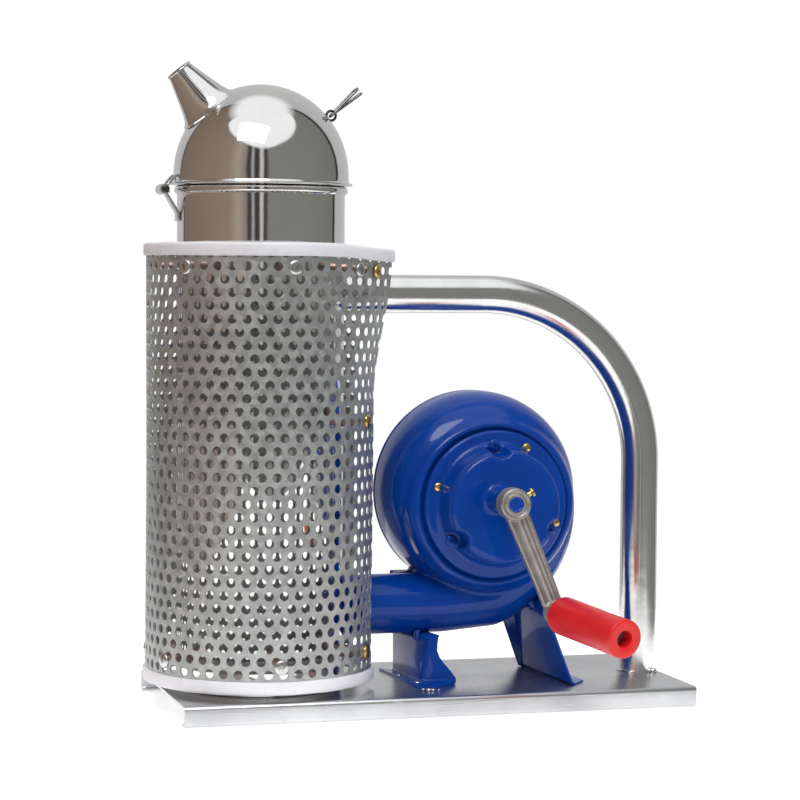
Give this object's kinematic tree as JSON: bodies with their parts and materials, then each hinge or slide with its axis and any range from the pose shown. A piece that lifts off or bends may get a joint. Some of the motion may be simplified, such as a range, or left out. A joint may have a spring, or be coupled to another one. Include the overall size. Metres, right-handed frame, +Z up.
{
  "type": "bee smoker",
  "caption": "Bee smoker: fire pot with a hinged domed lid and spout inside a perforated heat guard, with a hand-cranked blower and carrying handle on a folded base.",
  "frame": {"origin": "on the standing surface, under the middle of the object's footprint", "axes": "+Z up, +X from the fire pot towards the upright of the handle, -Y towards the crank"},
  "size_m": [0.3482, 0.2493, 0.4123],
  "materials": {
    "polished_stainless": "polished",
    "satin_stainless": "satin",
    "galvanised_sheet": "galvanised",
    "blue_enamel": "gloss enamel",
    "white_edging": "semi-matte",
    "red_plastic": "gloss",
    "cast_metal": "as cast",
    "yellow_zinc": "yellow passivated zinc",
    "bright_steel": "bright zinc",
    "dark_steel": "oiled",
    "brass": "machined"
  },
  "bodies": {
    "frame": {"base_plate": "satin_stainless", "handle_tube": "satin_stainless", "fire_pot": "polished_stainless", "fire_grate": "dark_steel", "grate_legs": "dark_steel", "pot_bolts": "bright_steel", "pot_nuts": "bright_steel", "heat_guard": "galvanised_sheet", "guard_top_trim": "white_edging", "guard_bottom_trim": "white_edging", "guard_spacers": "bright_steel", "guard_screws": "bright_steel", "edge_screws": "yellow_zinc", "pot_hinge_leaf": "polished_stainless", "hinge_pin": "dark_steel", "blower_housing": "blue_enamel", "outlet_pipe": "blue_enamel", "blower_back_cover": "blue_enamel", "back_cover_screws": "yellow_zinc", "gear_cover": "blue_enamel", "cover_bolts": "blue_enamel", "rim_screws": "yellow_zinc", "lay_stud": "bright_steel", "stud_clip": "dark_steel", "fan_bushes": "brass", "leg_left": "blue_enamel", "leg_right": "blue_enamel", "leg_bolts": "bright_steel", "foot_rivets": "bright_steel"},
    "lid": {"lid_dome": "polished_stainless", "spout": "polished_stainless", "lid_hinge_leaf": "polished_stainless", "lift_handle": "bright_steel", "handle_eye": "dark_steel"},
    "crank": {"crank_shaft": "blue_enamel", "thrust_washer": "brass", "crank_gear": "dark_steel", "crank_arm": "cast_metal", "crank_set_screw": "yellow_zinc", "grip_pin": "bright_steel"},
    "grip": {"grip": "red_plastic"},
    "layshaft": {"lay_pinion": "brass", "lay_gear": "dark_steel"},
    "fan": {"fan_shaft": "bright_steel", "fan_pinion": "brass", "impeller": "cast_metal", "fan_nut": "bright_steel"}
  },
  "joints": [
    {"name": "lid_hinge", "type": "hinge", "parent": "frame", "child": "lid", "pos_m": [-0.163, 0.04933, 0.331], "axis": [0, -1, 0], "range_deg": [0, 105]},
    {"name": "crank_turn", "type": "hinge", "parent": "frame", "child": "crank", "pos_m": [0.0431, -0.03867, 0.1353], "axis": [0, -1, 0], "continuous": true},
    {"name": "layshaft_spin", "type": "hinge", "parent": "frame", "child": "layshaft", "pos_m": [0.05772, 0.00233, 0.1458], "axis": [0, -1, 0], "continuous": true},
    {"name": "fan_spin", "type": "hinge", "parent": "frame", "child": "fan", "pos_m": [0.0491, 0.04933, 0.13], "axis": [0, -1, 0], "continuous": true},
    {"name": "grip_spin", "type": "hinge", "parent": "crank", "child": "grip", "pos_m": [0.06999, -0.05167, 0.06668], "axis": [0.2291, -0.9692, -0.0906], "continuous": true}
  ],
  "couplings": [
    {"joint": "layshaft_spin", "follows": "crank_turn", "ratio": -4},
    {"joint": "fan_spin", "follows": "crank_turn", "ratio": 16}
  ]
}
